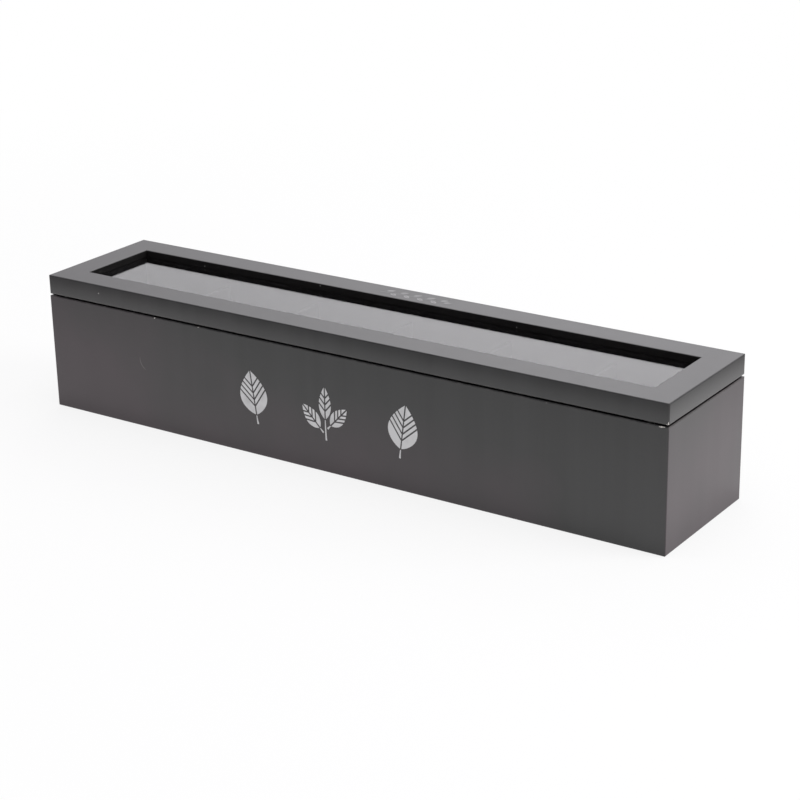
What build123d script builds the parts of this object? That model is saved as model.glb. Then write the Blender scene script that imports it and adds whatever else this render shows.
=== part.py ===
"""Long, narrow tea bag box with six compartments and a glazed lid hinged at the back.

Origin: centre of the underside. +X runs along the length, the front faces -Y, +Z is up.
All sizes are in millimetres.
"""
from build123d import *
import os

os.makedirs("parts", exist_ok=True)

# --- Box carcass ---
box_length = 430.0
box_depth = 90.0
body_height = 73.2
wall = 8.0
body_corner = 0.7  # rounding of the upright corners
body_top_arris = 0.6  # rounding of the rim, outside
rim_inner_arris = 0.4  # rounding of the rim, inside
body_foot_arris = 0.8  # rounding of the outer bottom edges
bottom_thickness = 3.0
bottom_rebate = 4.0  # how far the bottom board reaches under the walls
board_clearance = 0.1  # play of a board or bead in its rebate or groove

# --- Dividers ---
compartments = 6
divider_thickness = 3.0
divider_height = 65.0
divider_arris = 0.5
groove_depth = 2.0

# --- Lid frame ---
lid_gap = 0.8  # dark line between the box and the closed lid
lid_thickness = 12.3
rail_width = 18.0
lid_corner = 1.1
lid_top_arris = 0.7
lid_under_arris = 1.2
window_arris = 0.6

# --- Glazing ---
glass_thickness = 1.2
glass_drop = 4.3  # from the lid's top face down to the glass
glass_lip = 5.0  # how far the rebate reaches under the frame
glass_clearance = 0.3  # play around the edges of the pane
glass_arris = 0.2
bead_width = 4.5
bead_height = 4.0
bead_round = 1.5

# --- Bumper pads ---
bumper_diameter = 5.0
bumper_round = 0.25
bumper_end_distance = 12.0
bumper_clearance = 0.15  # under the closed lid

# --- Hinges ---
hinge_length = 25.0
hinge_end_distance = 65.0  # from the end of the box to the middle of the hinge
hinge_inset = 0.65  # pin axis, forward of the back face
leaf_thickness = 1.0
leaf_reach = 6.2  # from the pin axis to the leaf's inner edge
leaf_spread = 0.3  # air between the two leaves of a closed hinge
knuckle_radius = 2.0
knuckle_gap = 0.3  # air between neighbouring knuckles, and round the barrel
pin_radius = 1.0
pin_clearance = 0.05
pin_chamfer = 0.2
mortise_clearance = 0.3  # round a leaf and the ends of the barrel

# --- Hinge screws ---
screw_spacing = 15.0
screw_offset = 4.1  # from the pin axis
screw_head_radius = 1.5
screw_shank_radius = 0.7
screw_point_radius = 0.2
screw_length = 6.0
screw_taper = 1.5  # length of the pointed end
screw_sink = 0.05  # head below the face of the leaf
screw_clearance = 0.05
drive_length = 1.6  # cross recess in the head
drive_width = 0.35
drive_depth = 0.4

# --- Shaping ---
past = 5.0  # how far a cutting outline stands past the piece it cuts

# --- Worked out from the sizes above ---
inner_length = box_length - 2 * wall
inner_depth = box_depth - 2 * wall
divider_top = bottom_thickness + divider_height
divider_pitch = (inner_length + divider_thickness) / compartments
divider_places = [divider_pitch * (i - compartments / 2) for i in range(1, compartments)]

lid_bottom = body_height + lid_gap
lid_top = lid_bottom + lid_thickness
opening_length = box_length - 2 * rail_width
opening_depth = box_depth - 2 * rail_width
rebate_length = opening_length + 2 * glass_lip
rebate_depth = opening_depth + 2 * glass_lip
glass_top = lid_top - glass_drop
glass_bottom = glass_top - glass_thickness
bead_bottom = glass_bottom - bead_height
bead_length = rebate_length - 2 * board_clearance
bead_depth = rebate_depth - 2 * board_clearance

pin_y = box_depth / 2 - hinge_inset
pin_z = body_height + lid_gap / 2
knuckle_length = (hinge_length - 2 * knuckle_gap) / 3
bore_radius = pin_radius + pin_clearance
hinge_x = box_length / 2 - hinge_end_distance
hinge_places = {"left": -hinge_x, "right": hinge_x}
BOX, LID = -1, 1  # the half of the hinge below the pin axis, and the half above


def save(builder, name):
    builder.part.label = name
    export_step(builder.part, f"parts/{name}.step")


def eased_block(bottom, height, corner, top_arris, under_arris):
    """Block of the box's plan, its upright, upper and lower edges each rounded by a radius of its own."""
    with BuildPart() as block:
        with BuildSketch(Plane.XY.offset(bottom)):
            RectangleRounded(box_length, box_depth, corner)
        extrude(amount=height)
        for side_view, width in ((Plane.XZ, box_length), (Plane.YZ, box_depth)):
            with BuildSketch(side_view):
                with Locations((0, bottom + height / 2)):
                    Rectangle(width, height)
                fillet(vertices().group_by(Axis.Y)[0], under_arris)
                fillet(vertices().group_by(Axis.Y)[-1], top_arris)
            extrude(amount=box_length, both=True, mode=Mode.INTERSECT)
    return block.part


def mitre_wedge(length, depth, side):
    """Plan of one side of a rectangular frame, cut at 45 degrees through its corners."""
    x = length / 2 + past
    y = depth / 2 + past
    ridge = (length - depth) / 2  # where the mitre lines meet, on the long centre line
    return {
        "front": ((-x, -y), (x, -y), (ridge, 0), (-ridge, 0)),
        "back": ((x, y), (-x, y), (-ridge, 0), (ridge, 0)),
        "left": ((-x, y), (-x, -y), (-ridge, 0)),
        "right": ((x, -y), (x, y), (ridge, 0)),
    }[side]


def save_mitred(frame, length, depth, bottom, height, names):
    """Part a frame into its four sides at the mitres, and save each side under its name."""
    for side, name in names.items():
        with BuildPart() as board:
            add(frame.part)
            with BuildSketch(Plane.XY.offset(bottom)):
                Polygon(*mitre_wedge(length, depth, side), align=None)
            extrude(amount=height, mode=Mode.INTERSECT)
        save(board, name)


def leaf_plane(centre, half):
    """Inner face of a leaf, level with the pin in plan, looking out of the wood."""
    height = pin_z + half * leaf_spread / 2
    return Plane(origin=(centre, pin_y, height), x_dir=(1, 0, 0), z_dir=(0, 0, -half))


def screw_spots(half):
    """Screw centres on a leaf plane, forward of the pin. Its local Y points back only on the box."""
    return [(x, half * screw_offset) for x in (-screw_spacing / 2, screw_spacing / 2)]


def hinge_recess(centre, half):
    """What is cut from the box or the lid for one hinge: mortise, barrel notch and pilot holes."""
    length = hinge_length + 2 * mortise_clearance
    reach = leaf_reach + mortise_clearance
    rise = leaf_spread / 2 + leaf_thickness
    out_of_gap = Align.MIN if half == LID else Align.MAX
    with BuildPart(leaf_plane(centre, half)) as recess:
        with BuildSketch(Plane.YZ.offset(centre - length / 2)):
            with Locations((pin_y - reach, pin_z)):
                Rectangle(reach + hinge_inset + past, rise, align=(Align.MIN, out_of_gap))
            with Locations((pin_y, pin_z)):
                Circle(knuckle_radius + knuckle_gap)
        extrude(amount=length)
        with Locations(*screw_spots(half)):
            Cylinder(
                screw_shank_radius + screw_clearance,
                screw_length + screw_sink + screw_clearance,
                align=(Align.CENTER, Align.CENTER, Align.MAX),
            )
    return recess.part


# --- Carcass: four mitred boards, shaped as one ring and parted at the mitres ---
box_recesses = [hinge_recess(centre, BOX) for centre in hinge_places.values()]
box_block = eased_block(0, body_height, body_corner, body_top_arris, body_foot_arris)

with BuildPart() as carcass:
    add(box_block)
    with BuildSketch():
        Rectangle(inner_length, inner_depth)
    extrude(amount=body_height, mode=Mode.SUBTRACT)
    rim = carcass.faces().sort_by(Axis.Z)[-1]
    fillet(rim.inner_wires()[0].edges(), rim_inner_arris)
    # rebate for the bottom board
    with BuildSketch():
        Rectangle(inner_length + 2 * bottom_rebate, inner_depth + 2 * bottom_rebate)
    extrude(amount=bottom_thickness, mode=Mode.SUBTRACT)
    # stopped grooves for the dividers, open to the rebate below
    with BuildSketch():
        with Locations(*[(x, 0) for x in divider_places]):
            Rectangle(divider_thickness + 2 * board_clearance, inner_depth + 2 * groove_depth)
    extrude(amount=divider_top + board_clearance, mode=Mode.SUBTRACT)
    add(box_recesses, mode=Mode.SUBTRACT)

save_mitred(
    carcass,
    length=box_length,
    depth=box_depth,
    bottom=0,
    height=body_height,
    names={
        "front": "front_panel",
        "back": "back_panel",
        "left": "left_end_panel",
        "right": "right_end_panel",
    },
)

# --- Bottom board, flush with the underside of the walls ---
with BuildPart() as bottom_panel:
    with BuildSketch():
        Rectangle(
            inner_length + 2 * (bottom_rebate - board_clearance),
            inner_depth + 2 * (bottom_rebate - board_clearance),
        )
    extrude(amount=bottom_thickness)
save(bottom_panel, "bottom_panel")

# --- Dividers, standing on the bottom board with their ends in the grooves ---
for number, x in enumerate(divider_places, start=1):
    with BuildPart() as divider:
        with BuildSketch(Plane.XY.offset(bottom_thickness)):
            with Locations((x, 0)):
                Rectangle(divider_thickness, inner_depth + 2 * (groove_depth - board_clearance))
        extrude(amount=divider_height)
        top_edges = divider.faces().sort_by(Axis.Z)[-1].edges()
        fillet(top_edges.filter_by(Axis.Y), divider_arris)
    save(divider, f"divider_{number}")

# --- Bumper pads on the front board, just under the closed lid ---
bumper_x = box_length / 2 - bumper_end_distance
for side, x in (("left", -bumper_x), ("right", bumper_x)):
    with BuildPart() as bumper:
        with BuildSketch(Plane.XY.offset(body_height)):
            with Locations((x, (wall - box_depth) / 2)):
                Circle(bumper_diameter / 2)
        extrude(amount=lid_gap - bumper_clearance)
        fillet(bumper.faces().sort_by(Axis.Z)[-1].edges(), bumper_round)
    save(bumper, f"bumper_{side}")

# --- Lid frame: two rails and two stiles, mitred, with a rebate for the glass from below ---
lid_recesses = [hinge_recess(centre, LID) for centre in hinge_places.values()]
lid_block = eased_block(lid_bottom, lid_thickness, lid_corner, lid_top_arris, lid_under_arris)

with BuildPart() as lid_frame:
    add(lid_block)
    with BuildSketch(Plane.XY.offset(lid_bottom)):
        Rectangle(opening_length, opening_depth)
    extrude(amount=lid_thickness, mode=Mode.SUBTRACT)
    top = lid_frame.faces().sort_by(Axis.Z)[-1]
    fillet(top.inner_wires()[0].edges(), window_arris)
    with BuildSketch(Plane.XY.offset(lid_bottom)):
        Rectangle(rebate_length, rebate_depth)
    extrude(amount=lid_thickness - glass_drop, mode=Mode.SUBTRACT)
    add(lid_recesses, mode=Mode.SUBTRACT)

save_mitred(
    lid_frame,
    length=box_length,
    depth=box_depth,
    bottom=lid_bottom,
    height=lid_thickness,
    names={
        "front": "lid_front_rail",
        "back": "lid_back_rail",
        "left": "lid_left_stile",
        "right": "lid_right_stile",
    },
)

# --- Glass, up against the lip of the frame ---
with BuildPart() as glass_pane:
    with BuildSketch(Plane.XY.offset(glass_bottom)):
        Rectangle(rebate_length - 2 * glass_clearance, rebate_depth - 2 * glass_clearance)
    extrude(amount=glass_thickness)
    chamfer(glass_pane.edges(), glass_arris)
save(glass_pane, "glass_pane")

# --- Glazing beads under the glass, mitred, with the inner lower edge rounded ---
with BuildPart() as bead_frame:
    with BuildSketch(Plane.XY.offset(bead_bottom)):
        Rectangle(bead_length, bead_depth)
        Rectangle(bead_length - 2 * bead_width, bead_depth - 2 * bead_width, mode=Mode.SUBTRACT)
    extrude(amount=bead_height)
    underside = bead_frame.faces().sort_by(Axis.Z)[0]
    fillet(underside.inner_wires()[0].edges(), bead_round)

save_mitred(
    bead_frame,
    length=bead_length,
    depth=bead_depth,
    bottom=bead_bottom,
    height=bead_height,
    names={side: f"glazing_bead_{side}" for side in ("front", "back", "left", "right")},
)


# --- Butt hinges: the box leaf has the two outer knuckles, the lid leaf the middle one ---
def hinge_leaf(centre, half):
    start = Plane.YZ.offset(centre - hinge_length / 2)
    middle = knuckle_length / 2
    end = hinge_length / 2
    other_knuckles = {
        BOX: [(-middle - knuckle_gap, middle + knuckle_gap)],
        LID: [(-end, -middle), (middle, end)],
    }
    cut_back = knuckle_radius + knuckle_gap  # of the leaf, in front of the other's knuckle
    out_of_gap = Align.MIN if half == LID else Align.MAX
    with BuildPart(leaf_plane(centre, half)) as leaf:
        with BuildSketch(start):
            with Locations((pin_y - leaf_reach, pin_z + half * leaf_spread / 2)):
                Rectangle(leaf_reach, leaf_thickness, align=(Align.MIN, out_of_gap))
            with Locations((pin_y, pin_z)):
                Circle(knuckle_radius)
        extrude(amount=hinge_length)
        for low, high in other_knuckles[half]:
            with BuildSketch(Plane.YZ.offset(centre + low)):
                with Locations((pin_y - cut_back, pin_z)):
                    Rectangle(cut_back + past, 2 * past, align=(Align.MIN, Align.CENTER))
            extrude(amount=high - low, mode=Mode.SUBTRACT)
        with BuildSketch(start):
            with Locations((pin_y, pin_z)):
                Circle(bore_radius)
        extrude(amount=hinge_length, mode=Mode.SUBTRACT)
        with Locations(*screw_spots(half)):
            CounterSinkHole(
                screw_shank_radius + screw_clearance,
                screw_head_radius + screw_sink + screw_clearance,
                counter_sink_angle=90,
            )
    return leaf


def leaf_screws(centre, half):
    """The two screws of one leaf, whose heads are cones of 90 degrees, as the leaf's holes are."""
    head_height = screw_head_radius - screw_shank_radius
    taper_start = screw_taper - screw_length
    sunk = (Align.CENTER, Align.CENTER, Align.MAX)
    with BuildPart(leaf_plane(centre, half).offset(-screw_sink)) as screws:
        with Locations(*screw_spots(half)):
            Cylinder(screw_shank_radius, screw_length - screw_taper, align=sunk)
            Cone(screw_shank_radius, screw_head_radius, head_height, align=sunk)
            Box(drive_length, drive_width, drive_depth, align=sunk, mode=Mode.SUBTRACT)
            Box(drive_width, drive_length, drive_depth, align=sunk, mode=Mode.SUBTRACT)
        with Locations(*[(x, y, taper_start) for x, y in screw_spots(half)]):
            Cone(screw_point_radius, screw_shank_radius, screw_taper, align=sunk)
    return screws


for side, centre in hinge_places.items():
    for holder, half in (("box", BOX), ("lid", LID)):
        save(hinge_leaf(centre, half), f"hinge_{side}_{holder}_leaf")
        save(leaf_screws(centre, half), f"hinge_{side}_{holder}_screws")
    with BuildPart() as pin:
        with BuildSketch(Plane.YZ.offset(centre - hinge_length / 2)):
            with Locations((pin_y, pin_z)):
                Circle(pin_radius)
        extrude(amount=hinge_length)
        chamfer(pin.edges(), pin_chamfer)
    save(pin, f"hinge_{side}_pin")
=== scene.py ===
import math

import bmesh
import bpy
from mathutils import Euler, Matrix, Vector


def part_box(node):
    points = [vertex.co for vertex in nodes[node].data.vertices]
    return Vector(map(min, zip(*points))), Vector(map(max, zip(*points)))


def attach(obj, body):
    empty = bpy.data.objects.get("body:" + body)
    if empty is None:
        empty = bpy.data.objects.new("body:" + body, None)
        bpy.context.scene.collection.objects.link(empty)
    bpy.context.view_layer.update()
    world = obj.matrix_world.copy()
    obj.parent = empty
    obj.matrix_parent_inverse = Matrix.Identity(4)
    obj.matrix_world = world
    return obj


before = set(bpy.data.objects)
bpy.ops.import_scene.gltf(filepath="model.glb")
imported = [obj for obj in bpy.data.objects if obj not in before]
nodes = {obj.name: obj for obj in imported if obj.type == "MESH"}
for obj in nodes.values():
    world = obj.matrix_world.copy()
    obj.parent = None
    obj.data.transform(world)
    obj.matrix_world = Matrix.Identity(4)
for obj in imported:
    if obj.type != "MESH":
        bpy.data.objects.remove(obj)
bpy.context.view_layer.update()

mm = 0.001
# the lowest and highest corners of the box, and of the lid
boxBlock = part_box("front_panel")[0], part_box("back_panel")[1]
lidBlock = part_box("lid_front_rail")[0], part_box("lid_back_rail")[1]
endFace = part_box("right_end_panel")[1].x
print("frame:", len(nodes), "nodes")


def toLinear(hexColour):
    # sRGB hex, as a colour picker shows it, to the linear values that sockets take
    channels = [int(hexColour[i:i + 2], 16) / 255 for i in (1, 3, 5)]
    linear = [c / 12.92 if c <= 0.04045 else ((c + 0.055) / 1.055) ** 2.4 for c in channels]
    return (*linear, 1.0)


def addNode(tree, kind, inputs=None, **settings):
    # an input takes a value, a socket or a node, and a node gives its first output
    node = tree.nodes.new("ShaderNode" + kind)
    for name, value in settings.items():
        setattr(node, name, value)
    for name, value in (inputs or {}).items():
        shown = [s for s in node.inputs if s.enabled]
        socket = shown[name] if isinstance(name, int) else next(s for s in shown if s.name == name)
        if isinstance(value, bpy.types.Node):
            value = next(s for s in value.outputs if s.enabled)
        if isinstance(value, bpy.types.NodeSocket):
            tree.links.new(value, socket)
        else:
            socket.default_value = value
    return node


def startMaterial(name, settings):
    material = bpy.data.materials.new(name)
    material.use_nodes = True
    tree = material.node_tree
    shader = tree.nodes["Principled BSDF"]
    for socket, value in settings.items():
        shader.inputs[socket].default_value = value
    place = addNode(tree, "TexCoord").outputs["Object"]
    return material, tree, shader, place


def feed(tree, shader, sockets):
    for name, node in sockets.items():
        tree.links.new(next(s for s in node.outputs if s.enabled), shader.inputs[name])


def dress(names, material):
    for name in names:
        nodes[name].data.materials.clear()
        nodes[name].data.materials.append(material)


# Satin lacquer, sprayed on MDF: near black with a soft sheen, faint orange peel and upright spray
# passes, dull where it was dry-sprayed, and worn or chipped to the pale board where lid and box meet.
# Painted light: lighter and redder towards the foot, the left and the ends, darker inside as painted
# shade, a painted highlight along the ends' arrises by the gap, and painted glints at the near right
# corner.
lacquer = {
    "colour": "#2a2a2a",
    "redMottleAndLight": "#3e3539",  # a little redder and lighter: where the coat is thin, and as painted reflection and light towards the foot, the left and the ends
    "passes": "#303030",
    "dryCoatAndShade": "#1b1a1a",  # dry-sprayed, inside the box and round the window; darker than outside there partly as painted shade in these recesses
    # arrises where the coat has worn, and a painted highlight along the ends' arrises by the gap
    "wornAndHighlight": "#6b6866",
    # bare board; at the near right corner, painted glints
    "bareBoardAndGlint": "#cfcbc5",
    "dust": "#858381",
    "ior": 1.5,
    "sheen": 0.33,  # roughness of the outside
    "sheenSpread": 0.018,
    "thinSheen": 0.85,
    "thinGloss": "#5a5a5a",  # dry spray is porous and mirrors little
    "mottleSize": 90 * mm,
    "mottleDetail": 3.0,
    "mottleRange": (0.4, 0.85),  # of the noise and the next three added up
    "footPaintedLight": 0.45,  # how much the height adds to the mottle, from the top down to the foot: painted reflection of the bright floor
    "leftPaintedLight": 0.7,  # and the length, from the right end to the left: painted reflection, lighter to the left
    "endsPaintedLight": 0.6,  # and how much the ends add: painted light on the ends
    "boxMottleLight": 1.0,  # share of that redder mottle and painted light on the box
    "lidMottleLight": 0.15,  # and on the lid
    "passWidth": 14 * mm,
    "passLength": 400 * mm,
    "passDetail": 3.0,
    "passRange": (0.35, 0.65),
    "peelSize": 1.6 * mm,
    "peelDetail": 1.0,
    "peelHeight": 0.0035 * mm,
    "lidCrown": 0.38 * mm,
    "arrisWidth": 1.1 * mm,
    "gapArrisReach": 2.6 * mm,  # from the faces that meet
    "wornSize": 4 * mm,
    "wornDetail": 4.0,
    "wornGrit": 0.65,
    "wornRange": (0.45, 0.7),
    "wornLong": 0.45,  # how bare the patches are on the long sides
    "endsPaintedHighlight": 0.3,  # and how much the ends add to that all along: a painted highlight on their arrises
    "speckSpacing": 14 * mm,
    "speckSize": 0.55 * mm,
    "speckShare": 0.3,
    "dustSpacing": 5 * mm,
    "dustSize": 0.35 * mm,
    "dustShare": 0.3,
    "spotEdge": 0.5 * mm,  # size of the teeth round a chip, and round a painted glint
    "spotShift": 1 * mm,  # between how far in and how far out they reach
    "maskEase": 0.3 * mm,  # how near to the outer face counts as on it
}

# Where a chip is, and its radius, in millimetres. Those at the near right corner of box and lid are painted
# glints.
chipsAndGlints = {
    "box": [
        # the last four, at the near right corner, are painted glints
        ((-130, -45, 72.8), 0.45), ((-96, -45, 73.0), 0.4), ((209.6, -45, 72.8), 0.35),
        ((210.6, -45, 72.9), 0.45), ((211.5, -45, 73.0), 0.4), ((212.4, -45, 73.1), 0.35)],
    "lid": [
        # the last three, at the near right corner, are painted glints
        ((-176, -45, 74.3), 0.4), ((-174, -45, 81.0), 0.35), ((214.8, -44.9, 75.9), 0.35),
        ((214.7, -44.8, 75.1), 0.45), ((213.8, -45, 74.7), 0.3)],
}

# One fine curved scuff on the front, part of a circle, in millimetres.
scuff = {
    "centre": (-136.5, -45, 44.5),  # of the circle
    "middle": (-142.7, -45, 40.8),  # of the scuff
    "whole": 2.5,  # from its middle to where it starts to fade
    "reach": 5.0,  # and to its ends
    "width": 0.45,  # from its line to its faint edge: wider than a real scuff, so that it shows
    "strength": 0.7,
}


def depthsInBlock(tree, place, block):
    # how far a point lies behind the block's end faces, long faces, and top and bottom
    low, high = block
    middle = (0.0, 0.0, (low.z + high.z) / 2)
    halves = (endFace, high.y, (high.z - low.z) / 2)
    fromMiddle = addNode(tree, "VectorMath", {0: place, 1: middle}, operation="SUBTRACT")
    away = addNode(tree, "VectorMath", {0: fromMiddle}, operation="ABSOLUTE")
    inward = addNode(tree, "VectorMath", {0: halves, 1: away}, operation="SUBTRACT")
    return addNode(tree, "SeparateXYZ", {0: inward}).outputs


def onArris(tree, depth):
    # the second smallest of the three depths is small only along an arris
    v = lacquer
    shallow = addNode(tree, "Math", {0: depth[0], 1: depth[1]}, operation="MINIMUM")
    deep = addNode(tree, "Math", {0: depth[0], 1: depth[1]}, operation="MAXIMUM")
    second = addNode(tree, "Math", {0: shallow, 1: depth[2]}, operation="MAXIMUM")
    second = addNode(tree, "Math", {0: second, 1: deep}, operation="MINIMUM")
    return addNode(tree, "MapRange", {
        "Value": second, "From Min": v["arrisWidth"], "From Max": 0.0}, interpolation_type="SMOOTHSTEP")


def dryAndShadedInside(tree, height, depth, outer):
    # all but the outer faces: the hollow's walls, and the faces that meet when the lid is shut; there the
    # coat is drier, and darker as painted shade
    v = lacquer
    shallow = addNode(tree, "Math", {0: depth[0], 1: depth[1]}, operation="MINIMUM")
    offArris = addNode(tree, "Math", {0: shallow, 1: v["arrisWidth"]}, operation="GREATER_THAN")
    offOuter = addNode(tree, "Math", {0: height, 1: outer}, operation="SUBTRACT")
    offOuter = addNode(tree, "Math", {0: offOuter}, operation="ABSOLUTE")
    offOuter = addNode(tree, "Math", {0: offOuter, 1: v["maskEase"]}, operation="GREATER_THAN")
    return addNode(tree, "Math", {0: offArris, 1: offOuter}, operation="MULTIPLY")


def specks(tree, place, spacing, size, share, where):
    # some cells of the pattern hold one small speck
    cells = addNode(tree, "TexVoronoi", {"Vector": place, "Scale": 1 / spacing})
    chance = addNode(tree, "SeparateColor", {0: cells.outputs["Color"]})
    chosen = addNode(tree, "Math", {0: chance, 1: share}, operation="LESS_THAN")
    near = addNode(tree, "Math", {0: cells.outputs["Distance"], 1: size / spacing}, operation="LESS_THAN")
    speck = addNode(tree, "Math", {0: chosen, 1: near}, operation="MULTIPLY")
    return addNode(tree, "Math", {0: speck, 1: where}, operation="MULTIPLY")


def chippedAndGlinting(tree, place, spots):
    # each spot, for a chip and for a painted glint alike, is a small ball, with a ragged edge from noise
    # that lies about one half
    v = lacquer
    teeth = addNode(tree, "TexNoise", {"Vector": place, "Scale": 1 / v["spotEdge"]}).outputs["Color"]
    centred = addNode(tree, "VectorMath", {0: teeth, 1: (0.5, 0.5, 0.5)}, operation="SUBTRACT")
    shift = addNode(tree, "VectorMath", {0: centred, "Scale": v["spotShift"]}, operation="SCALE")
    ragged = addNode(tree, "VectorMath", {0: place, 1: shift}, operation="ADD")
    paleSpots = 0.0
    for spot, radius in spots:
        centre = [c * mm for c in spot]
        apart = addNode(tree, "VectorMath", {0: ragged, 1: centre}, operation="DISTANCE")
        inSpot = addNode(tree, "Math", {0: apart, 1: radius * mm}, operation="LESS_THAN")
        paleSpots = addNode(tree, "Math", {0: paleSpots, 1: inSpot}, operation="MAXIMUM")
    return paleSpots


def scuffed(tree, place):
    # a fine line that follows part of a circle
    v = scuff
    centre = [c * mm for c in v["centre"]]
    middle = [c * mm for c in v["middle"]]
    radius = math.dist(v["centre"], v["middle"]) * mm
    away = addNode(tree, "VectorMath", {0: place, 1: centre}, operation="DISTANCE")
    away = addNode(tree, "Math", {0: away, 1: radius}, operation="SUBTRACT")
    away = addNode(tree, "Math", {0: away}, operation="ABSOLUTE")
    onLine = addNode(tree, "MapRange", {"Value": away, "From Min": v["width"] * mm, "From Max": 0.0})
    along = addNode(tree, "VectorMath", {0: place, 1: middle}, operation="DISTANCE")
    within = addNode(tree, "MapRange", {
        "Value": along, "From Min": v["reach"] * mm, "From Max": v["whole"] * mm})
    line = addNode(tree, "Math", {0: onLine, 1: within}, operation="MULTIPLY")
    return addNode(tree, "Math", {0: line, 1: v["strength"]}, operation="MULTIPLY")


def layColours(tree, layers):
    # each layer covers those before it where its mask is 1
    coat = toLinear(layers[0][1])
    for mask, hexColour in layers[1:]:
        coat = addNode(tree, "Mix", {"Factor": mask, "A": coat, "B": toLinear(hexColour)}, data_type="RGBA")
    return coat


def arrisesByGap(tree, height, depth, meeting):
    # the arrises beside the face that meets the other block
    v = lacquer
    off = addNode(tree, "Math", {0: height, 1: meeting}, operation="SUBTRACT")
    off = addNode(tree, "Math", {0: off}, operation="ABSOLUTE")
    near = addNode(tree, "MapRange", {
        "Value": off, "From Min": v["gapArrisReach"], "From Max": 0.0}, interpolation_type="SMOOTHSTEP")
    return addNode(tree, "Math", {0: onArris(tree, depth), 1: near}, operation="MULTIPLY")


def wearAndEndHighlight(tree, place, arrisByGap, atEnd):
    # worn patches on the long sides; on the ends the arris by the gap is lit all along, a painted highlight
    v = lacquer
    patches = addNode(tree, "TexNoise", {
        "Vector": place, "Scale": 1 / v["wornSize"], "Detail": v["wornDetail"], "Roughness": v["wornGrit"]})
    patches = addNode(tree, "MapRange", {
        "Value": patches, "From Min": v["wornRange"][0], "From Max": v["wornRange"][1],
        "To Max": v["wornLong"]})
    patches = addNode(tree, "Math", {0: atEnd, 1: v["endsPaintedHighlight"], 2: patches}, operation="MULTIPLY_ADD")
    return addNode(tree, "Math", {0: arrisByGap, 1: patches}, operation="MULTIPLY")


def mottleAndPaintedLight(tree, place, across, upDown, atEnd, mottleLightShare):
    # cloudy, with more of it towards the foot, towards the left, and on the ends: the cloud is the coat's
    # own, the three gradients are painted light and reflection
    v = lacquer
    mottle = addNode(tree, "TexNoise", {
        "Vector": place, "Scale": 1 / v["mottleSize"], "Detail": v["mottleDetail"]})
    mottle = addNode(tree, "Math", {
        0: upDown, 1: -v["footPaintedLight"] / 2, 2: mottle}, operation="MULTIPLY_ADD")
    mottle = addNode(tree, "Math", {
        0: across, 1: -v["leftPaintedLight"] / 2 / endFace, 2: mottle}, operation="MULTIPLY_ADD")
    mottle = addNode(tree, "Math", {0: atEnd, 1: v["endsPaintedLight"], 2: mottle}, operation="MULTIPLY_ADD")
    return addNode(tree, "MapRange", {
        "Value": mottle, "From Min": v["mottleRange"][0], "From Max": v["mottleRange"][1],
        "To Max": mottleLightShare})


def sprayPasses(tree, place):
    # upright bands, far longer than they are wide
    v = lacquer
    upright = addNode(tree, "Mapping", {
        "Vector": place, "Scale": (1.0, 1.0, v["passWidth"] / v["passLength"])})
    passes = addNode(tree, "TexNoise", {
        "Vector": upright, "Scale": 1 / v["passWidth"], "Detail": v["passDetail"]})
    return addNode(tree, "MapRange", {
        "Value": passes, "From Min": v["passRange"][0], "From Max": v["passRange"][1]})


def peelAndCrown(tree, place, upDown, dryAndShaded, crown):
    # heights in millimetres: the peel, and the slight crown of the outer faces
    v = lacquer
    peel = addNode(tree, "TexNoise", {
        "Vector": place, "Scale": 1 / v["peelSize"], "Detail": v["peelDetail"]})
    peel = addNode(tree, "Math", {0: peel, 1: v["peelHeight"] / mm}, operation="MULTIPLY")
    squared = addNode(tree, "Math", {0: upDown, 1: upDown}, operation="MULTIPLY")
    outside = addNode(tree, "Math", {0: 1.0, 1: dryAndShaded}, operation="SUBTRACT")
    fall = addNode(tree, "Math", {0: squared, 1: outside}, operation="MULTIPLY")
    relief = addNode(tree, "Math", {0: fall, 1: -crown / mm, 2: peel}, operation="MULTIPLY_ADD")
    return addNode(tree, "Bump", {"Height": relief, "Distance": mm})


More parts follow.
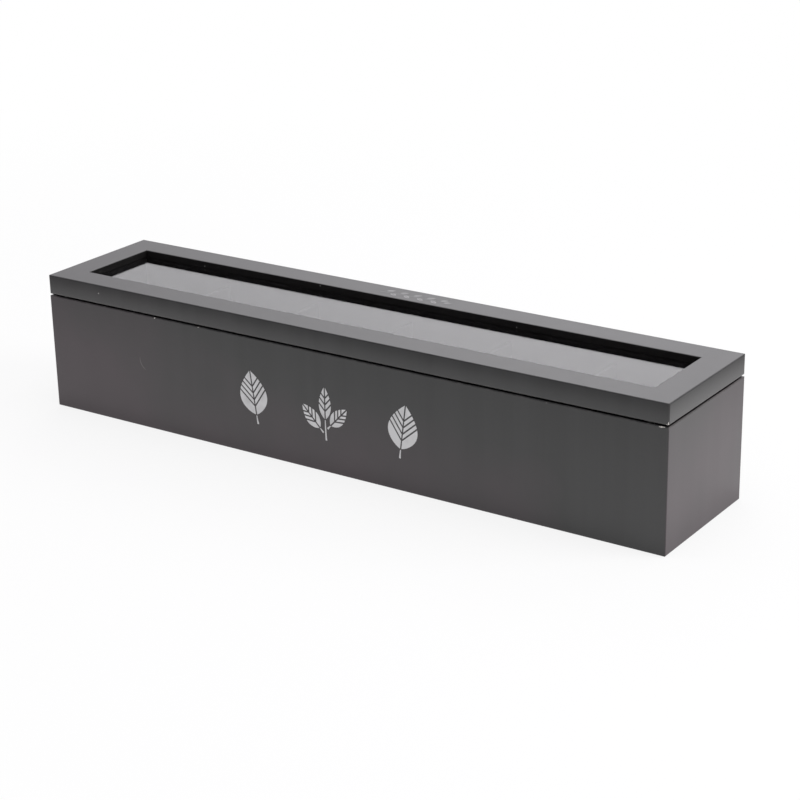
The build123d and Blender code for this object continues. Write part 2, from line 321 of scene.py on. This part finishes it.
def sprayedLacquer(name, block, meeting, outer, spots, crown, mottleLightShare):
    # meeting and outer: heights of the face that meets the other block, and of the one that doesn't
    # crown: how far sanding has rounded the outer faces between their upper and lower edges
    # the last argument: how much of the redder mottle and painted light this block has
    v = lacquer
    material, tree, shader, place = startMaterial(name, {"IOR": v["ior"]})
    parts = addNode(tree, "SeparateXYZ", {0: place}).outputs
    depth = depthsInBlock(tree, place, block)
    # inner faces: a drier coat, darkened there as painted shade
    dryAndShaded = dryAndShadedInside(tree, parts["Z"], depth, outer)
    atEnd = addNode(tree, "Math", {0: depth[0], 1: depth[1]}, operation="LESS_THAN")
    upDown = addNode(tree, "MapRange", {
        "Value": parts["Z"], "From Min": block[0].z, "From Max": block[1].z,
        "To Min": -1.0, "To Max": 1.0})
    arrisByGap = arrisesByGap(tree, parts["Z"], depth, meeting)
    passes = sprayPasses(tree, place)
    coat = layColours(tree, [
        (None, v["colour"]), (passes, v["passes"]),
        # redder mottle, with painted light and reflection towards the foot, the left and the ends
        (mottleAndPaintedLight(tree, place, parts["X"], upDown, atEnd, mottleLightShare), v["redMottleAndLight"]), (dryAndShaded, v["dryCoatAndShade"]),
        (specks(tree, place, v["dustSpacing"], v["dustSize"], v["dustShare"], dryAndShaded), v["dust"]),
        # worn arrises, with a painted highlight along the ends, and the scuff
        (wearAndEndHighlight(tree, place, arrisByGap, atEnd), v["wornAndHighlight"]), (scuffed(tree, place), v["wornAndHighlight"]),
        (specks(tree, place, v["speckSpacing"], v["speckSize"], v["speckShare"], arrisByGap), v["bareBoardAndGlint"]),
        # chips, and painted glints at the near right corner
        (chippedAndGlinting(tree, place, spots), v["bareBoardAndGlint"])])
    sheen = addNode(tree, "MapRange", {
        "Value": passes, "To Min": v["sheen"] - v["sheenSpread"], "To Max": v["sheen"] + v["sheenSpread"]})
    sheen = addNode(tree, "Mix", {"Factor": dryAndShaded, "A": sheen, "B": v["thinSheen"]})
    tint = layColours(tree, [(None, "#ffffff"), (dryAndShaded, v["thinGloss"])])
    feed(tree, shader, {
        "Base Color": coat, "Roughness": sheen, "Specular Tint": tint,
        "Normal": peelAndCrown(tree, place, upDown, dryAndShaded, crown)})
    return material


boxLacquer = sprayedLacquer(
    "satin_lacquer_box", boxBlock, boxBlock[1].z, boxBlock[0].z, chipsAndGlints["box"], 0.0, lacquer["boxMottleLight"])
lidLacquer = sprayedLacquer(
    "satin_lacquer_lid", lidBlock, lidBlock[0].z, lidBlock[1].z, chipsAndGlints["lid"], lacquer["lidCrown"],
    lacquer["lidMottleLight"])
dress(["front_panel", "back_panel", "left_end_panel", "right_end_panel", "bottom_panel"], boxLacquer)
dress(["lid_front_rail", "lid_back_rail", "lid_left_stile", "lid_right_stile"], lidLacquer)
print("lacquer: panels and lid frame")

# Dry-sprayed black on the thin boards inside: nearly matt, with raised MDF fibre.
innerCoat = {
    "colour": "#1b1a1a",
    "fibre": "#262424",
    "ior": 1.5,
    "gloss": 0.2,  # under half of the usual: the coat is porous
    "roughness": (0.8, 0.95),
    "fibreSize": 0.9 * mm,
    "fibreDetail": 3.0,
    "fibreRange": (0.5, 0.75),
    "fibreHeight": 0.012 * mm,
    "cloudSize": 30 * mm,
    "cloudDetail": 2.0,
    "cloudRange": (0.35, 0.65),
}


def drySprayedBoard():
    v = innerCoat
    material, tree, shader, place = startMaterial("dry_sprayed_board", {
        "IOR": v["ior"], "Specular IOR Level": v["gloss"]})
    fibre = addNode(tree, "TexNoise", {
        "Vector": place, "Scale": 1 / v["fibreSize"], "Detail": v["fibreDetail"]})
    cloud = addNode(tree, "TexNoise", {
        "Vector": place, "Scale": 1 / v["cloudSize"], "Detail": v["cloudDetail"]})
    tips = addNode(tree, "MapRange", {
        "Value": fibre, "From Min": v["fibreRange"][0], "From Max": v["fibreRange"][1]})
    coat = layColours(tree, [(None, v["colour"]), (tips, v["fibre"])])
    rough = addNode(tree, "MapRange", {
        "Value": cloud, "From Min": v["cloudRange"][0], "From Max": v["cloudRange"][1],
        "To Min": v["roughness"][0], "To Max": v["roughness"][1]})
    relief = addNode(tree, "Bump", {"Height": fibre, "Distance": v["fibreHeight"]})
    feed(tree, shader, {"Base Color": coat, "Roughness": rough, "Normal": relief})
    return material


innerBoards = [f"divider_{i}" for i in range(1, 6)]
innerBoards += [f"glazing_bead_{side}" for side in ("front", "back", "left", "right")]
dress(innerBoards, drySprayedBoard())

# Thin float glass: clear and colourless, with a few faint wipe marks in its gloss.
glass = {
    "colour": "#f5f5f7",
    "ior": 1.52,
    "roughness": (0.0, 0.035),
    "wipeSize": 45 * mm,
    "wipeStretch": 0.25,  # wiped along the length of the pane
    "wipeDetail": 5.0,
    "wipeSwirl": 0.6,
    "wipeRange": (0.5, 0.8),
}


def floatGlass():
    v = glass
    material, tree, shader, place = startMaterial("float_glass", {
        "Base Color": toLinear(v["colour"]), "IOR": v["ior"], "Transmission Weight": 1.0})
    wiped = addNode(tree, "Mapping", {"Vector": place, "Scale": (v["wipeStretch"], 1.0, 1.0)})
    wipes = addNode(tree, "TexNoise", {
        "Vector": wiped, "Scale": 1 / v["wipeSize"], "Detail": v["wipeDetail"],
        "Distortion": v["wipeSwirl"]})
    rough = addNode(tree, "MapRange", {
        "Value": wipes, "From Min": v["wipeRange"][0], "From Max": v["wipeRange"][1],
        "To Min": v["roughness"][0], "To Max": v["roughness"][1]})
    feed(tree, shader, {"Roughness": rough})
    # lamps reach the boards under the pane
    clear = addNode(tree, "BsdfTransparent", {"Color": toLinear(v["colour"])})
    lampRay = addNode(tree, "LightPath").outputs["Is Shadow Ray"]
    both = addNode(tree, "MixShader", {0: lampRay, 1: shader, 2: clear})
    feed(tree, tree.nodes["Material Output"], {"Surface": both})
    return material


dress(["glass_pane"], floatGlass())

# Zinc-plated steel, rolled leaves and turned screws: grey, with fine lines and dull patches.
steel = {
    "colour": "#bdbdba",
    "dull": "#96958f",
    "leafRoughness": (0.3, 0.46),
    "screwRoughness": (0.22, 0.34),
    "grainSize": 0.12 * mm,
    "grainDetail": 2.0,
    "grainHeight": 0.002 * mm,
    "leafStretch": 0.03,  # rolling lines run along the hinge
    "screwStretch": 1.0,  # and screws have none
    "patchSize": 5 * mm,
    "patchDetail": 4.0,
    "patchRange": (0.42, 0.68),
}


def zincPlated(name, roughness, stretch):
    v = steel
    material, tree, shader, place = startMaterial(name, {"Metallic": 1.0})
    lines = addNode(tree, "Mapping", {"Vector": place, "Scale": (stretch, 1.0, 1.0)})
    grain = addNode(tree, "TexNoise", {
        "Vector": lines, "Scale": 1 / v["grainSize"], "Detail": v["grainDetail"]})
    patch = addNode(tree, "TexNoise", {
        "Vector": place, "Scale": 1 / v["patchSize"], "Detail": v["patchDetail"]})
    dull = addNode(tree, "MapRange", {
        "Value": patch, "From Min": v["patchRange"][0], "From Max": v["patchRange"][1]})
    colour = layColours(tree, [(None, v["colour"]), (dull, v["dull"])])
    rough = addNode(tree, "MapRange", {"Value": dull, "To Min": roughness[0], "To Max": roughness[1]})
    relief = addNode(tree, "Bump", {"Height": grain, "Distance": v["grainHeight"]})
    feed(tree, shader, {"Base Color": colour, "Roughness": rough, "Normal": relief})
    return material


hingeSteel = zincPlated("zinc_plated_hinge", steel["leafRoughness"], steel["leafStretch"])
screwSteel = zincPlated("zinc_plated_screw", steel["screwRoughness"], steel["screwStretch"])
for side in ("left", "right"):
    dress([f"hinge_{side}_box_leaf", f"hinge_{side}_lid_leaf", f"hinge_{side}_pin"], hingeSteel)
    dress([f"hinge_{side}_box_screws", f"hinge_{side}_lid_screws"], screwSteel)

# Moulded rubber pads: matt and slightly grey with bloom.
rubber = {
    "colour": "#1b1b1b",
    "bloom": "#343332",
    "ior": 1.52,
    "grainSize": 0.25 * mm,
    "grainDetail": 2.0,
    "grainHeight": 0.01 * mm,
    "roughness": (0.62, 0.8),
}


def mouldedRubber():
    v = rubber
    material, tree, shader, place = startMaterial("moulded_rubber", {"IOR": v["ior"]})
    grain = addNode(tree, "TexNoise", {
        "Vector": place, "Scale": 1 / v["grainSize"], "Detail": v["grainDetail"]})
    colour = layColours(tree, [(None, v["colour"]), (grain, v["bloom"])])
    rough = addNode(tree, "MapRange", {
        "Value": grain, "To Min": v["roughness"][0], "To Max": v["roughness"][1]})
    relief = addNode(tree, "Bump", {"Height": grain, "Distance": v["grainHeight"]})
    feed(tree, shader, {"Base Color": colour, "Roughness": rough, "Normal": relief})
    return material


dress(["bumper_left", "bumper_right"], mouldedRubber())
print("materials: inside boards, glass, steel, rubber")

# Silver-grey screen ink: flat and opaque, with cloudy patches and a soft shine.
ink = {
    "front": ("#d6d6d6", "#c4c4c4"),  # full film, and where the screen gave less
    "rail": ("#8e8e8e", "#777777"),  # a fainter second screen
    "ior": 1.5,
    "roughness": (0.42, 0.54),
    "meshPitch": 0.5 * mm,  # print of the screen's mesh, coarser than a real one, so that it shows
    "meshDetail": 1.0,
    "meshHeight": 0.004 * mm,
    "cloudSize": 7 * mm,
    "cloudDetail": 5.0,
    "cloudRange": (0.45, 0.75),
}


def screenInk(name, full, mottleLightShare):
    v = ink
    material, tree, shader, place = startMaterial(name, {"IOR": v["ior"]})
    cloud = addNode(tree, "TexNoise", {
        "Vector": place, "Scale": 1 / v["cloudSize"], "Detail": v["cloudDetail"]})
    patchy = addNode(tree, "MapRange", {
        "Value": cloud, "From Min": v["cloudRange"][0], "From Max": v["cloudRange"][1]})
    film = layColours(tree, [(None, full), (patchy, mottleLightShare)])
    weave = addNode(tree, "TexNoise", {
        "Vector": place, "Scale": 1 / v["meshPitch"], "Detail": v["meshDetail"]})
    rough = addNode(tree, "MapRange", {
        "Value": weave, "To Min": v["roughness"][0], "To Max": v["roughness"][1]})
    relief = addNode(tree, "Bump", {"Height": weave, "Distance": v["meshHeight"]})
    feed(tree, shader, {"Base Color": film, "Roughness": rough, "Normal": relief})
    return material


# Leaf prints: plain leaves, each cut by its veins as a stencil is.
stencil = {
    "film": 0.03 * mm,
    "bladeSteps": 40,
    "bladeLow": 0.8,  # under 1, the widest place is below the middle
    "bladeFull": 0.85,  # under 1, the outline is fuller than a sine curve
    "veinSlope": 48,  # degrees above level
    "veinShare": (0.04, 0.64),  # of the blade's length, between which the veins are spread
    "stalkSteps": 12,
    "stalkGap": 0.02,  # share of the leaf's height between stalk and blade
    "stalkTaper": 0.5,
    "stalkBend": 0.9 * mm,  # on a stalk as long as the front leaf
    "mergeReach": 0.01 * mm,
    "sliverReach": 0.005 * mm,
}
frontPrint = {
    "baseline": 20 * mm,
    "height": 33 * mm,
    "width": 20 * mm,
    "stalk": 0.18,  # share of the height below the blade
    "veins": 4,
    "gap": 0.9 * mm,  # width of the rib and the veins
    "stalkWidth": 1.2 * mm,
    "leaves": {"left": (-54 * mm, 8), "right": (47 * mm, -8)},  # place, and lean in degrees
    "sprigPlace": -4.5 * mm,
    "sprig": [  # foot across and up, lean, height, width, stalk share, veins
        (0.0, 0.0, 0, 33 * mm, 8.5 * mm, 0.4, 3),
        (-1.5 * mm, 4.5 * mm, 44, 21 * mm, 9.5 * mm, 0.17, 3),
        (1.5 * mm, 7.5 * mm, -44, 20 * mm, 9 * mm, 0.17, 3)],
}
railPrint = {
    "centre": (2.5 * mm, 35 * mm),
    "length": 43 * mm,
    "leaves": 9,
    "height": 7 * mm,
    "width": 2.8 * mm,
    "stalk": 0.12,
    "lean": 58,  # degrees from square to the stem
    "gap": 0.35 * mm,
    "stemWidth": 0.5 * mm,
}


def halfBlade(height, width, gap, lowVein, highVein):
    # the part of a half leaf between two vein lines, flat in XY, with its rib on the Y axis
    v = stencil
    bm = bmesh.new()
    bmesh.ops.create_grid(bm, x_segments=2, y_segments=v["bladeSteps"], size=0.5)
    for vertex in bm.verts:
        along = vertex.co.y + 0.5
        out = vertex.co.x + 0.5
        belly = math.sin(math.pi * along ** v["bladeLow"]) ** v["bladeFull"]
        edge = max(gap / 2, width / 2 * belly)
        vertex.co.x = gap / 2 + out * (edge - gap / 2)
        vertex.co.y = along * height
    slope = math.radians(v["veinSlope"])
    normal = Vector((-math.sin(slope), math.cos(slope), 0))
    for offset, side in ((lowVein, -1), (highVein, 1)):
        if offset is None:
            continue
        bmesh.ops.bisect_plane(
            bm, geom=bm.verts[:] + bm.edges[:] + bm.faces[:], plane_co=(0, offset, 0),
            plane_no=normal * side, clear_outer=True)
    bmesh.ops.remove_doubles(bm, verts=bm.verts, dist=v["mergeReach"])
    bmesh.ops.dissolve_degenerate(bm, dist=v["sliverReach"], edges=bm.edges)
    return bm


def addFlat(target, bm, place):
    # copies a flat shape into target, moved by a matrix
    mesh = bpy.data.meshes.new("scratch")
    bm.to_mesh(mesh)
    bm.free()
    mesh.transform(place)
    target.from_mesh(mesh)
    bpy.data.meshes.remove(mesh)


def addStalk(target, length, width, place):
    # narrower towards its top, and bent aside at its foot
    v = stencil
    bm = bmesh.new()
    bmesh.ops.create_grid(bm, x_segments=2, y_segments=v["stalkSteps"], size=0.5)
    for vertex in bm.verts:
        along = vertex.co.y + 0.5
        vertex.co.x *= width * (1 - v["stalkTaper"] * along)
        vertex.co.x += v["stalkBend"] * length / frontPrint["height"] * (1 - along) ** 2
        vertex.co.y = along * length
    addFlat(target, bm, place)


def drawLeaf(target, place, height, width, stalk, veins, gap, stalkWidth):
    # a leaf in pieces, with a gap for each vein and for the rib, and its stalk below
    v = stencil
    blade = height * (1 - stalk)
    foot = Matrix.Translation((0, height * stalk, 0))
    halfVein = gap / 2 / math.cos(math.radians(v["veinSlope"]))
    low, high = v["veinShare"]
    lines = [blade * (low + (high - low) * k / veins) for k in range(1, veins + 1)]
    starts = [None] + [y + halfVein for y in lines]
    ends = [y - halfVein for y in lines] + [None]
    for start, end in zip(starts, ends):
        for mirror in (1, -1):
            bm = halfBlade(blade, width, gap, start, end)
            addFlat(target, bm, place @ foot @ Matrix.Diagonal((mirror, 1, 1, 1)))
    addStalk(target, height * (stalk - v["stalkGap"]), stalkWidth, place)


def finishPrint(name, bm, toWorld, material, body):
    # gives the flat shape its film thickness, towards local +Z, and puts it in place
    bmesh.ops.recalc_face_normals(bm, faces=bm.faces)
    for face in bm.faces:
        if face.normal.z < 0:
            face.normal_flip()
    raised = bmesh.ops.extrude_face_region(bm, geom=bm.faces[:], use_keep_orig=True)["geom"]
    tops = [g for g in raised if isinstance(g, bmesh.types.BMVert)]
    bmesh.ops.translate(bm, vec=(0, 0, stencil["film"]), verts=tops)
    bmesh.ops.recalc_face_normals(bm, faces=bm.faces)
    bmesh.ops.transform(bm, matrix=toWorld, verts=bm.verts)
    mesh = bpy.data.meshes.new(name)
    bm.to_mesh(mesh)
    bm.free()
    mesh.materials.append(material)
    piece = bpy.data.objects.new(name, mesh)
    bpy.context.scene.collection.objects.link(piece)
    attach(piece, body)


def printFront():
    v = frontPrint
    film = screenInk("silver_screen_ink", *ink["front"])
    turn = Euler((math.pi / 2, 0, 0)).to_matrix().to_4x4()
    onFront = Matrix.Translation((0, boxBlock[0].y, v["baseline"])) @ turn
    for side, (x, lean) in v["leaves"].items():
        bm = bmesh.new()
        place = Matrix.Translation((x, 0, 0)) @ Matrix.Rotation(math.radians(lean), 4, "Z")
        drawLeaf(bm, place, v["height"], v["width"], v["stalk"], v["veins"], v["gap"], v["stalkWidth"])
        finishPrint(f"leaf_print_{side}", bm, onFront, film, "box")
    bm = bmesh.new()
    for across, up, lean, height, width, stalk, veins in v["sprig"]:
        place = Matrix.Translation((v["sprigPlace"] + across, up, 0))
        place = place @ Matrix.Rotation(math.radians(lean), 4, "Z")
        drawLeaf(bm, place, height, width, stalk, veins, v["gap"], v["stalkWidth"])
    finishPrint("sprig_print_middle", bm, onFront, film, "box")


def printRail():
    v = railPrint
    film = screenInk("faint_screen_ink", *ink["rail"])
    onTop = Matrix.Translation((*v["centre"], lidBlock[1].z))
    # leaves stand by turns above and below a stem that runs along X, with one at its end
    start = -v["length"] / 2
    step = v["length"] / v["leaves"]
    spots = [(start + step * (k + 0.5), 1 - 2 * (k % 2)) for k in range(v["leaves"])]
    turns = [(x, up * v["stemWidth"], -v["lean"] if up > 0 else v["lean"] - 180) for x, up in spots]
    turns.append((-start + v["stemWidth"], 0.0, -90))
    bm = bmesh.new()
    for x, y, turn in turns:
        place = Matrix.Translation((x, y, 0)) @ Matrix.Rotation(math.radians(turn), 4, "Z")
        drawLeaf(bm, place, v["height"], v["width"], v["stalk"], 0, v["gap"], v["stemWidth"])
    stem = Matrix.Translation((start, 0, 0)) @ Matrix.Rotation(-math.pi / 2, 4, "Z")
    addStalk(bm, v["length"], v["stemWidth"], stem)
    finishPrint("sprig_print_rail", bm, onTop, film, "lid")


printFront()
printRail()
print("prints: front leaves, rail sprig")

# Floor, lamps and camera. A white backdrop stands behind the box; the room beside it is dim.
studio = {
    "floorHalf": 6.0,  # metres
    "floorLevel": -0.05 * mm,  # a hair below the underside, so that the two faces don't coincide
    "floorParts": 4,
    "floorColour": "#fbfbfb",
    "floorRoughness": 0.9,
    "floorSeen": 0.82,  # share of the plain white background in the floor, as the camera sees it
    "plainReach": (0.1, 0.7),  # metres outside the halves below, over which that goes to 1
    "floorMirrored": 0.85,  # the same in gloss, where its brightness changes over the floor
    "glowHalves": (0.3, 0.1, 0.0),  # half the size of the area round the box where it is brightest
    "glowReach": (0.02, 0.35),  # metres outside those halves, over which the floor dims
    "glow": (1.3, 0.3),
    "contactReach": 28 * mm,  # the box's own shade on the floor beside it, as gloss shows it
    "contactShade": 0.74,
    "white": "#ffffff",
    "mirrored": "#fdfbff",  # the backdrop is a trace cool
    "worldLight": 0.6,  # for rays from matt surfaces
    "backdropTurn": 34,  # degrees, from +Y towards the left
    "backdropEdge": (0.4, 0.75),  # cosine of the angle off its middle
    "room": 0.3,
    "rightSide": 1.55,  # the backdrop is brighter towards its right
    "rightSideEdge": (-0.68, -0.45),  # X of the directions between which it gets brighter
}
lamps = {  # place, size in metres, watts, and whether gloss mirrors it
    "back_softbox": ((-0.75, 1.25, 1.15), (1.0, 0.5), 2.6, True),
    "top_softbox": ((0.2, -0.1, 2.2), (1.6, 1.2), 12, True),
    "right_softbox": ((1.9, 0.7, 0.9), (1.2, 1.2), 24, False),
}
camera = {
    "place": (0.661799, -0.936427, 0.467337),
    "turn": (69.15857, 1.06179, 34.14492),  # degrees
    "lens": 93.2936,  # millimetres, as is the sensor
    "sensor": 36,
    "farLimit": 50,
}


def farOutside(tree, place, halves):
    # how far a point lies outside a block that is centred on the origin
    out = addNode(tree, "VectorMath", {0: place}, operation="ABSOLUTE")
    out = addNode(tree, "VectorMath", {0: out, 1: halves}, operation="SUBTRACT")
    out = addNode(tree, "VectorMath", {0: out, 1: (0.0, 0.0, 0.0)}, operation="MAXIMUM")
    return addNode(tree, "VectorMath", {0: out}, operation="LENGTH")


def seenDirectly(tree, path):
    # rays from the camera, and those that come through the pane
    return addNode(tree, "Math", {
        0: path["Is Camera Ray"], 1: path["Is Transmission Ray"]}, operation="MAXIMUM")


def glossGlow(tree, place, out):
    # how bright the floor is in gloss: dimmer far away, and in the box's own shade
    v = studio
    glow = addNode(tree, "MapRange", {
        "Value": out, "From Min": v["glowReach"][0], "From Max": v["glowReach"][1],
        "To Min": v["glow"][0], "To Max": v["glow"][1]}, interpolation_type="SMOOTHSTEP")
    beside = farOutside(tree, place, (endFace, boxBlock[1].y, 0.0))
    contact = addNode(tree, "MapRange", {
        "Value": beside, "From Max": v["contactReach"],
        "To Min": v["contactShade"], "To Max": 1.0}, interpolation_type="SMOOTHSTEP")
    return addNode(tree, "Math", {0: glow, 1: contact}, operation="MULTIPLY")


def floorPaper():
    v = studio
    material, tree, shader, place = startMaterial("floor_paper", {
        "Base Color": toLinear(v["floorColour"]), "Roughness": v["floorRoughness"],
        "Specular IOR Level": 0.0})
    path = addNode(tree, "LightPath").outputs
    # a ray through glass counts as glossy as well
    mirrored = addNode(tree, "Math", {
        0: path["Is Glossy Ray"], 1: path["Is Transmission Ray"]}, operation="SUBTRACT")
    out = farOutside(tree, place, v["glowHalves"])
    # far from the box no shadow is left, and the floor meets the background without an edge
    plain = addNode(tree, "MapRange", {
        "Value": out, "From Min": v["plainReach"][0], "From Max": v["plainReach"][1],
        "To Min": v["floorSeen"], "To Max": 1.0}, interpolation_type="SMOOTHSTEP")
    share = addNode(tree, "Math", {0: mirrored, 1: v["floorMirrored"]}, operation="MULTIPLY")
    share = addNode(tree, "Math", {
        0: seenDirectly(tree, path), 1: plain, 2: share}, operation="MULTIPLY_ADD")
    strength = addNode(tree, "Mix", {
        "Factor": mirrored, "A": 1.0, "B": glossGlow(tree, place, out)})
    white = addNode(tree, "Emission", {"Color": toLinear(v["white"]), "Strength": strength})
    both = addNode(tree, "MixShader", {0: share, 1: shader, 2: white})
    feed(tree, tree.nodes["Material Output"], {"Surface": both})
    return material


def makeFloor():
    v = studio
    bm = bmesh.new()
    bmesh.ops.create_grid(
        bm, x_segments=v["floorParts"], y_segments=v["floorParts"], size=v["floorHalf"])
    bmesh.ops.translate(bm, vec=(0, 0, v["floorLevel"]), verts=bm.verts)
    mesh = bpy.data.meshes.new("floor")
    bm.to_mesh(mesh)
    bm.free()
    mesh.materials.append(floorPaper())
    floor = bpy.data.objects.new("floor", mesh)
    bpy.context.scene.collection.objects.link(floor)


def makeWorld():
    v = studio
    world = bpy.data.worlds.new("studio")
    world.use_nodes = True
    bpy.context.scene.world = world
    tree = world.node_tree
    path = addNode(tree, "LightPath").outputs
    toward = addNode(tree, "TexCoord").outputs["Generated"]
    turn = math.radians(v["backdropTurn"])
    behind = addNode(tree, "VectorMath", {
        0: toward, 1: (-math.sin(turn), math.cos(turn), 0.0)}, operation="DOT_PRODUCT")
    backdrop = addNode(tree, "MapRange", {
        "Value": behind, "From Min": v["backdropEdge"][0], "From Max": v["backdropEdge"][1],
        "To Min": v["room"], "To Max": 1.0}, interpolation_type="SMOOTHSTEP")
    across = addNode(tree, "SeparateXYZ", {0: toward}).outputs["X"]
    right = addNode(tree, "MapRange", {
        "Value": across, "From Min": v["rightSideEdge"][0], "From Max": v["rightSideEdge"][1],
        "To Min": 1.0, "To Max": v["rightSide"]}, interpolation_type="SMOOTHSTEP")
    mirrored = addNode(tree, "Math", {0: backdrop, 1: right}, operation="MULTIPLY")
    light = addNode(tree, "Mix", {"Factor": path["Is Glossy Ray"], "A": v["worldLight"], "B": mirrored})
    seen = seenDirectly(tree, path)
    strength = addNode(tree, "Mix", {"Factor": seen, "A": light, "B": 1.0})
    colour = layColours(tree, [(None, v["mirrored"]), (seen, v["white"])])
    feed(tree, tree.nodes["Background"], {"Color": colour, "Strength": strength})


def makeLamp(name, place, size, watts, mirrored):
    lamp = bpy.data.lights.new(name, "AREA")
    lamp.shape = "RECTANGLE"
    lamp.size, lamp.size_y = size
    lamp.energy = watts
    holder = bpy.data.objects.new(name, lamp)
    holder.location = place
    holder.rotation_euler = (-Vector(place)).to_track_quat("-Z", "Y").to_euler()
    holder.visible_camera = False
    holder.visible_glossy = mirrored
    bpy.context.scene.collection.objects.link(holder)


def makeCamera():
    v = camera
    data = bpy.data.cameras.new("camera")
    data.lens = v["lens"]
    data.sensor_width = v["sensor"]
    data.clip_end = v["farLimit"]
    holder = bpy.data.objects.new("camera", data)
    holder.location = v["place"]
    holder.rotation_euler = [math.radians(a) for a in v["turn"]]
    bpy.context.scene.collection.objects.link(holder)
    bpy.context.scene.camera = holder


makeFloor()
makeWorld()
for name, settings in lamps.items():
    makeLamp(name, *settings)
makeCamera()
bpy.context.scene.view_settings.view_transform = "Standard"

print("stage: floor, lamps, camera")
